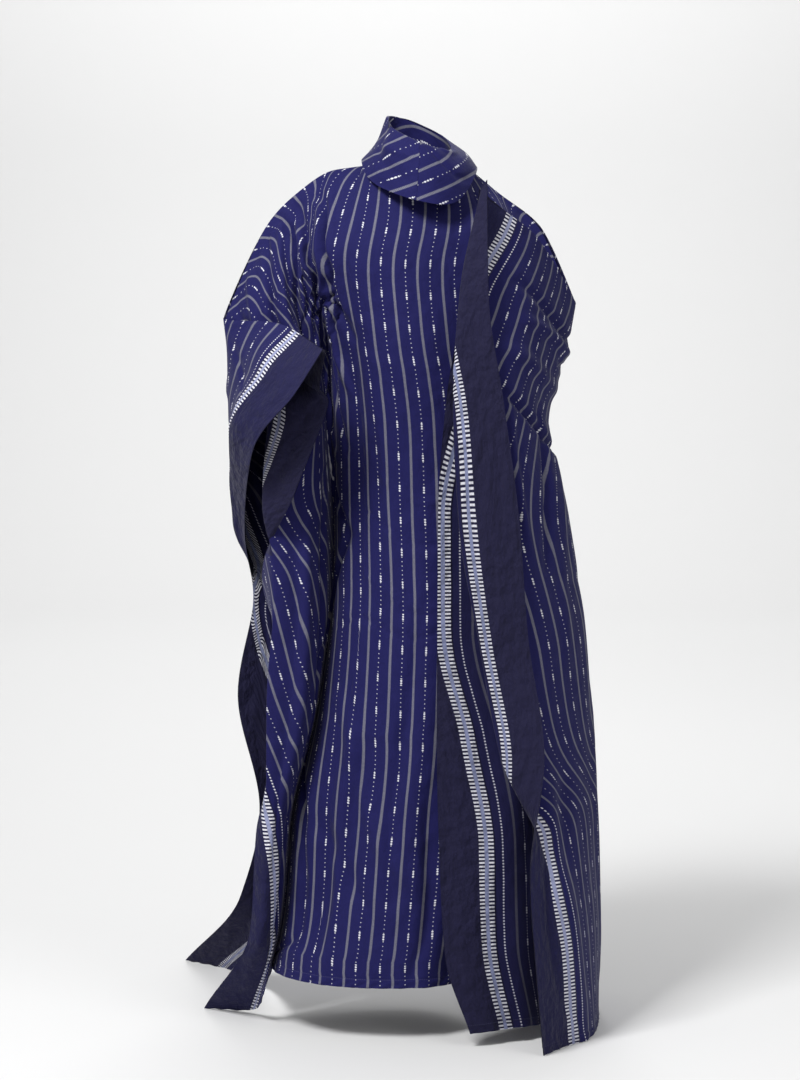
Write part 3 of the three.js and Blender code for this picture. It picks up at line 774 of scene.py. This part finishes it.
# a wing's lay: true beside its selvedge, eased to run on from the body above the armpit
def wingLay(points, seamU, values):
    s, v = gridLengths(points)
    total = s[:, -1:]
    fromEdge = total - s
    columnsAt = np.linspace(0, 1, points.shape[1])
    tie = np.interp(downSteps, wingRules["tiedAt"], wingRules["tied"])
    toSeam = np.where(downSteps[:, None] > armpit, s, farOff)
    if "levelFrom" in values:    # where the wing hangs straight, its weft lies level
        begin, end = values["levelFrom"]
        f = np.clip((downSteps - begin) / (end - begin), 0, 1)[:, None]
        f = f * f * (3 - 2 * f)
        middle = nearestIndex(downSteps, (begin + end) / 2)
        level = np.mean(v[middle] + points[middle, :, 2]) - points[..., 2]
        v = v * (1 - f) + level * f
    lay = {"v": v, "toSeam": toSeam}
    if "flapScale" in values:
        first = nearestIndex(columnsAt, wingRules["flapAt"])
        lay["flapU"] = fromEdge * smooth(values["flapScale"], downSteps)[:, None]
        lay["onFlap"] = np.repeat((np.arange(points.shape[1]) >= first)[None], len(s), 0)
    if "atFold" in values:
        fold = nearestIndex(columnsAt, wingRules["foldAt"])
        atFold = smooth(values["atFold"], downSteps)[:, None]
        span = s[:, fold:fold + 1]
        ratio = np.clip((seamU[:, None] - atFold) / span, wingRules["least"], wingRules["mostToFold"])
        ratio = 1 + (ratio - 1) * tie[:, None]
        pull = smooth(values["pull"], downSteps)[:, None] * np.sin(math.pi * np.clip(s / span, 0, 1))
        lay["u"] = np.maximum(atFold + (span - s) * ratio - pull, 2)
        lay["flapU"] = fromEdge
        lay["onFlap"] = ((np.arange(points.shape[1])[None] >= fold)
                         & (downSteps[:, None] < values["openFrom"]))
        return lay
    u = np.empty_like(s)
    near = wingRules["trueTo"]
    for k in range(len(s)):
        length = float(total[k, 0])
        least, most = (near + wingRules[name] * (length - near) for name in ("least", "most"))
        goal = min(max(float(seamU[k]), least), most)
        goal = length + (goal - length) * tie[k]
        squeeze = 1 - (1 - values.get("squeeze", 1)) * tie[k]
        mark = min(near + wingRules["easedOver"], length - wingRules["leftAtSeam"])
        if mark <= near:
            u[k] = fromEdge[k]
            continue
        u[k] = np.interp(fromEdge[k], [0, near, mark, length],
                         [0, near, near + (mark - near) * squeeze, max(goal, near + 5)])
    if "turnedUnder" in values:
        u = u + smooth(values["turnedUnder"], downSteps)[:, None]
    if "skew" in values:
        skew = smooth(values["skew"], downSteps)[:, None]
        u = u + skew * np.clip(s / total / wingRules["flapAt"], 0, 1)
    lay["u"] = u
    return lay


def declare(piece, values):
    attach(piece, "root")
    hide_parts(values["node"])


bodies = [
    {"name": "frontBodyCloth", "node": "front_body", "side": -1,
     "folds": bodyFrontFolds, "flat": (0.56, 1.50), "area": 0.69,
     "creases": [
         {"start": (0.05, 1.25), "end": (0.24, 1.8), "depth": 9, "width": 9, "bow": 6},
         {"start": (0.04, 1.55), "end": (0.2, 2.3), "depth": -9, "width": 9, "bow": -5},
         {"start": (0.04, 1.85), "end": (0.17, 2.8), "depth": 8, "width": 8, "bow": 4},
         {"start": (0.12, 0.35), "end": (0.2, 0.95), "depth": 3, "width": 9, "bow": 3},
         {"start": (0.15, 3.35), "end": (0.8, 3.16), "depth": 2.6, "width": 5, "bow": 4},
         {"start": (0.2, 3.9), "end": (0.72, 3.74), "depth": -2.4, "width": 5, "bow": -5},
         {"start": (0.12, 4.35), "end": (0.62, 4.1), "depth": 2.8, "width": 5, "bow": 6},
         {"start": (0.3, 2.96), "end": (0.7, 2.86), "depth": -2.2, "width": 6, "bow": 3},
         {"start": (0.6, 0.9), "end": (0.88, 1.6), "depth": 3, "width": 13, "bow": 6},
         {"start": (0.3, 2.5), "end": (0.36, 4.6), "depth": 5, "width": 14, "bow": 5},
         {"start": (0.62, 2.8), "end": (0.58, 5.2), "depth": -5, "width": 12, "bow": -8},
         {"start": (0.46, 4.2), "end": (0.5, 6.8), "depth": 7, "width": 15, "bow": 10},
         {"start": (0.2, 4.9), "end": (0.64, 6.6), "depth": -7, "width": 22, "bow": 16},
         {"start": (0.14, 5.9), "end": (0.54, 7.5), "depth": 6, "width": 23, "bow": -10},
         {"start": (0.3, 5.0), "end": (0.33, 8.8), "depth": -12, "width": 21, "bow": 6},
         {"start": (0.56, 5.6), "end": (0.6, 8.9), "depth": 11, "width": 16, "bow": -5},
         {"start": (0.78, 6.3), "end": (0.74, 8.8), "depth": -8, "width": 12, "bow": 4},
         {"start": (0.9, 3.4), "end": (0.84, 7.6), "depth": 9, "width": 13, "bow": 6},
     ]},
    {"name": "backBodyCloth", "node": "back_body", "side": 1,
     "folds": bodyBackFolds, "flat": (0.51, 1.50), "area": 0.63,
     "creases": [
         {"start": (0.2, 1.0), "end": (0.42, 2.1), "depth": -3, "width": 12, "bow": 7},
         {"start": (0.82, 1.1), "end": (0.6, 2.0), "depth": -3, "width": 13, "bow": -6},
         {"start": (0.3, 2.6), "end": (0.34, 5.2), "depth": 3, "width": 14, "bow": 6},
         {"start": (0.54, 2.2), "end": (0.5, 5.6), "depth": -4, "width": 15, "bow": -8},
         {"start": (0.72, 3.2), "end": (0.7, 6.4), "depth": 4, "width": 15, "bow": 5},
         {"start": (0.2, 5.4), "end": (0.26, 8.6), "depth": -5, "width": 17, "bow": 8},
         {"start": (0.52, 5.8), "end": (0.56, 8.8), "depth": 5, "width": 18, "bow": -6},
         {"start": (0.84, 5.6), "end": (0.8, 8.6), "depth": 4, "width": 14, "bow": 5},
     ]},
]

wings = [
    {"name": "rightWingFrontCloth", "node": "right_wing_front", "table": wingFrontRight,
     "sideTable": sideRight, "side": -1, "lines": ["upper", "elbow", "fold", "edge"],
     "folds": wingFrontRightFolds, "flat": (0.43, 1.50), "area": 0.34,
     "levelFrom": (2.2, 3.6), "atFold": [171, 200, 300, 300, 250, 175, 96, 64, 44], "openFrom": 3.7,
     "pull": [0, 88, 44, 0, 0, 0, 0, 0, 0],
     "creases": [
         {"start": (0.04, 0.15), "end": (0.05, 2.0), "depth": -9, "width": 7, "bow": 3},
         {"start": (0.09, 0.3), "end": (0.1, 1.9), "depth": 7, "width": 9, "bow": -3},
         {"start": (0.14, 0.12), "end": (0.15, 1.9), "depth": -13, "width": 8, "bow": 5},
         {"start": (0.2, 0.1), "end": (0.21, 1.7), "depth": 9, "width": 12, "bow": -5},
         {"start": (0.28, 0.06), "end": (0.24, 1.8), "depth": -11, "width": 9, "bow": 6},
         {"start": (0.36, 0.1), "end": (0.31, 1.5), "depth": 8, "width": 14, "bow": -6},
         {"start": (0.44, 0.2), "end": (0.36, 1.6), "depth": -8, "width": 10, "bow": 5},
         {"start": (0.56, 0.12), "end": (0.46, 1.5), "depth": -6, "width": 10, "bow": 4},
         {"start": (0.05, 1.2), "end": (0.28, 1.6), "depth": -9, "width": 8, "bow": 4},
         {"start": (0.06, 1.5), "end": (0.26, 2.1), "depth": 8, "width": 9, "bow": -4},
         {"start": (0.2, 2.8), "end": (0.25, 7.4), "depth": -11, "width": 13, "bow": 6},
         {"start": (0.84, 1.0), "end": (0.88, 3.2), "depth": 3, "width": 9, "bow": 3},
         {"start": (0.4, 3.2), "end": (0.44, 6.0), "depth": 7, "width": 13, "bow": -6},
     ]},
    {"name": "rightWingBackCloth", "node": "right_wing_back", "table": wingBackRight,
     "sideTable": sideRight, "side": 1, "lines": ["upper", "elbow", "fore", "edge"],
     "folds": wingBackRightFolds, "flat": (0.58, 1.50), "area": 0.43,
     "squeeze": 0.62, "turnedUnder": [0, 0, 0, 20, 100, 10, 0, 0, 0],
     "creases": [
         {"start": (0.3, 0.4), "end": (0.52, 1.6), "depth": -5, "width": 12, "bow": 8},
         {"start": (0.56, 0.5), "end": (0.74, 1.8), "depth": 4, "width": 11, "bow": -5},
         {"start": (0.42, 1.5), "end": (0.5, 3.9), "depth": 4, "width": 12, "bow": 7},
         {"start": (0.66, 2.2), "end": (0.6, 4.8), "depth": -4, "width": 11, "bow": -5},
         {"start": (0.7, 5.0), "end": (0.66, 8.4), "depth": 5, "width": 14, "bow": 6},
         {"start": (0.28, 4.6), "end": (0.34, 8.2), "depth": -4, "width": 13, "bow": -6},
     ]},
    {"name": "leftWingFrontCloth", "node": "left_wing_front", "table": wingFrontLeft,
     "sideTable": sideLeft, "side": -1, "lines": ["upper", "turn", "front", "edge"],
     "folds": wingFrontLeftFolds, "flat": (0.47, 1.50), "area": 0.52,
     "levelFrom": (1.6, 3.2), "turnedUnder": [0, 0, 60, 90, 88, 45, 17, 20, 30],
     "creases": [
         {"start": (0.14, 0.6), "end": (0.5, 1.4), "depth": 4, "width": 11, "bow": 6},
         {"start": (0.6, 1.6), "end": (0.66, 4.2), "depth": -6, "width": 11, "bow": 5},
         {"start": (0.5, 4.4), "end": (0.6, 7.4), "depth": 8, "width": 13, "bow": -7},
     ]},
    {"name": "leftWingBackCloth", "node": "left_wing_back", "table": wingBackLeft,
     "sideTable": sideLeft, "side": 1, "lines": ["upper", "elbow", "fore", "fold", "edge"],
     "folds": wingBackLeftFolds, "flat": (0.72, 1.50), "area": 0.83,
     "levelFrom": (2.0, 3.4), "skew": [-6, 24, 52, 100, 95, 55, 12, 0, 0],
     "flapScale": [1, 1.2, 1.36, 1.16, 1.34, 1.56, 1.7, 1.27, 1.06],
     "turnedUnder": [0, 0, 0, 0, 0, 22, 34, 17, 4],
     "creases": [
         {"start": (0.3, 0.4), "end": (0.66, 0.7), "depth": -8, "width": 11, "bow": 8},
         {"start": (0.34, 0.75), "end": (0.6, 1.05), "depth": 9, "width": 12, "bow": -7},
         {"start": (0.34, 1.3), "end": (0.72, 1.42), "depth": 7, "width": 17, "bow": 5},
         {"start": (0.28, 1.78), "end": (0.76, 1.74), "depth": -13, "width": 12, "bow": 8},
         {"start": (0.36, 1.05), "end": (0.46, 1.16), "depth": -7, "width": 9, "bow": 2},
         {"start": (0.5, 1.9), "end": (0.55, 3.5), "depth": -13, "width": 12, "bow": 9},
         {"start": (0.62, 1.95), "end": (0.6, 3.3), "depth": 11, "width": 12, "bow": -7},
         {"start": (0.44, 2.3), "end": (0.52, 4.4), "depth": 4, "width": 13, "bow": -6},
         {"start": (0.64, 2.8), "end": (0.7, 5.6), "depth": -7, "width": 12, "bow": 6},
         {"start": (0.36, 4.2), "end": (0.42, 7.6), "depth": 5, "width": 15, "bow": 7},
         {"start": (0.54, 5.2), "end": (0.62, 8.6), "depth": -8, "width": 14, "bow": -6},
         {"start": (0.88, 2.4), "end": (0.9, 5.0), "depth": 3, "width": 9, "bow": 3},
         {"start": (0.2, 3.0), "end": (0.24, 7.4), "depth": 5, "width": 15, "bow": -8},
     ]},
]

# gathers that run across the armhole seams, on the joined panel from wrist to wrist
armholeGathers = {
    -1: [
        {"start": (0.238, 0.1), "end": (0.268, 1.5), "depth": 9, "width": 8, "bow": 5},
        {"start": (0.252, 0.15), "end": (0.279, 1.6), "depth": -8, "width": 9, "bow": -4},
        {"start": (0.266, 0.12), "end": (0.288, 1.75), "depth": 13, "width": 8, "bow": 6},
        {"start": (0.28, 0.1), "end": (0.298, 1.75), "depth": -9, "width": 9, "bow": -4},
        {"start": (0.295, 0.3), "end": (0.308, 2.0), "depth": 12, "width": 7, "bow": 5},
        {"start": (0.302, 1.3), "end": (0.345, 1.95), "depth": -7, "width": 7, "bow": 5},
        {"start": (0.3, 1.5), "end": (0.352, 2.3), "depth": 9, "width": 7, "bow": -5},
        {"start": (0.3, 1.72), "end": (0.338, 2.9), "depth": -8, "width": 7, "bow": 4},
        {"start": (0.303, 1.9), "end": (0.33, 3.4), "depth": 9, "width": 7, "bow": 5},
        {"start": (0.3, 3.0), "end": (0.306, 7.8), "depth": 12, "width": 12, "bow": 4},
        {"start": (0.69, 3.2), "end": (0.7, 7.6), "depth": 10, "width": 13, "bow": -5},
    ],
    1: [
        {"start": (0.26, 0.2), "end": (0.288, 1.7), "depth": -9, "width": 9, "bow": 5},
        {"start": (0.282, 0.15), "end": (0.3, 1.8), "depth": 7, "width": 9, "bow": -4},
        {"start": (0.3, 1.5), "end": (0.35, 2.4), "depth": -7, "width": 8, "bow": 5},
        {"start": (0.7, 0.2), "end": (0.69, 1.8), "depth": -8, "width": 9, "bow": -5},
        {"start": (0.695, 1.5), "end": (0.65, 2.5), "depth": -7, "width": 8, "bow": -4},
        {"start": (0.305, 3.2), "end": (0.31, 7.6), "depth": -10, "width": 13, "bow": 5},
        {"start": (0.695, 3.0), "end": (0.7, 7.8), "depth": -10, "width": 13, "bow": -4},
    ],
}

collar = {
    "name": "cowlCloth", "node": "cowl_collar", "flat": (0.51, 0.20), "area": 0.084,
    "bias": 28, "patternRound": 413, "patternFrom": 393, "seamRound": 450,
    "creases": [
        {"start": (0.02, 0.55), "end": (0.2, 0.95), "depth": 3, "width": 8, "bow": 4},
        {"start": (0.06, 0.4), "end": (0.24, 0.62), "depth": -3, "width": 7, "bow": -3},
        {"start": (0.8, 0.45), "end": (0.96, 0.9), "depth": 3.5, "width": 8, "bow": 4},
        {"start": (0.84, 0.7), "end": (0.99, 0.72), "depth": -3, "width": 7, "bow": 3},
        {"start": (0.4, 0.5), "end": (0.56, 0.9), "depth": 3, "width": 9, "bow": 4},
        {"start": (0.6, 0.5), "end": (0.72, 0.85), "depth": -3, "width": 8, "bow": -4},
    ],
}


calm = {"body": 14, "wing": 25, "panel": 20, "cowl": 12}    # creases fade out this near an edge


# one panel: right wing, body half and left wing are one cloth, joined and eased at the seams
def joinPanel(side, body, rightWing, leftWing, creased):
    across = np.linspace(0, 1, bodyColumns + 1)
    middle = bodyGrid(side, across, downSteps)
    middle = pressFolds(middle, body["folds"], across, downSteps)
    if creased:
        middle = pressCreases(middle, body["creases"], across, downSteps, calm["body"])
    out = []
    for values, seam in ((rightWing, middle[:, 0]), (leftWing, middle[:, -1])):
        steps = np.linspace(0, 1, wingColumns + 1)
        points = wingGrid(values["table"], values["sideTable"], side, values["lines"], steps, downSteps)
        points = pressFolds(points, values["folds"], steps, downSteps)
        if creased:
            points = pressCreases(points, values["creases"], steps, downSteps, calm["wing"])
        points[:, 0] = seam
        out.append(points)
    panel = np.concatenate([out[0][:, ::-1], middle[:, 1:], out[1][:, 1:]], 1)
    for seamColumn in (wingColumns, wingColumns + bodyColumns):
        panel = easeTurn(panel, seamColumn)
    if creased:
        steps = np.linspace(0, 1, panel.shape[1])
        panel = pressCreases(panel, armholeGathers[side], steps, downSteps, calm["panel"])
        panel = turnHem(panel, side)
    return panel


# the pattern is laid on the cloth before it creases, so its stripes run true
def makePanel(side):
    body = next(values for values in bodies if values["side"] == side)
    rightWing, leftWing = (values for values in wings if values["side"] == side)
    smoothPanel = joinPanel(side, body, rightWing, leftWing, False)
    panel = joinPanel(side, body, rightWing, leftWing, True)
    normals = gridNormals(panel)
    parts = [slice(0, wingColumns + 1), slice(wingColumns, wingColumns + bodyColumns + 1),
             slice(wingColumns + bodyColumns, None)]
    laid = bodyLay(smoothPanel[:, parts[1]])
    seamU = (laid["u"][:, 0], clothWidth - laid["u"][:, -1])
    rightLay = wingLay(smoothPanel[:, parts[0]][:, ::-1], seamU[0], rightWing)
    rightLay = {name: part[:, ::-1] for name, part in rightLay.items()}
    if "onFlap" in rightLay:    # cells are named by their first column, which the turn shifts
        onFlap = rightLay["onFlap"]
        rightLay["onFlap"] = np.concatenate([onFlap[:, 1:], onFlap[:, -1:]], 1)
    leftLay = wingLay(smoothPanel[:, parts[2]], seamU[1], leftWing)
    for values, part, lay, slot in ((rightWing, parts[0], rightLay, "wing_cloth"),
                                    (body, parts[1], laid, "body_cloth"),
                                    (leftWing, parts[2], leftLay, "wing_cloth")):
        piece = makeCloth(values["name"], panel[:, part], normals[:, part], side, lay)
        declare(piece, values)


# a band cut on the bias: its stripes rise from the front seam
def makeCowl(values):
    slit = seamGap / values["seamRound"]
    across = slit / 2 + np.linspace(0, 1, grid["cowlColumns"] + 1) * (1 - slit)
    at = np.linspace(0, 1, grid["cowlRows"] + 1)
    points = cowlGrid(across, at)
    along = gridLengths(points)[1]
    rim = nearestIndex(at, 0.5)
    height = points[..., 2].copy()    # the standing layer counts on above the rim, as one cloth
    height[:rim] = height[rim] + along[rim] - along[:rim]
    s = across * values["patternRound"]
    points = pressCreases(points, values["creases"], across, at, calm["cowl"])
    bias = math.radians(values["bias"])
    lay = {"u": values["patternFrom"] - height * math.cos(bias) + s * math.sin(bias),
           "v": s * math.cos(bias) + height * math.sin(bias)}
    piece = makeCloth(values["name"], points, gridNormals(points), -1, lay, hemmed=False)
    declare(piece, values)


makePanel(-1)
print("front panel laid")
makePanel(1)
print("back panel laid")
makeCowl(collar)
print("cowl laid")
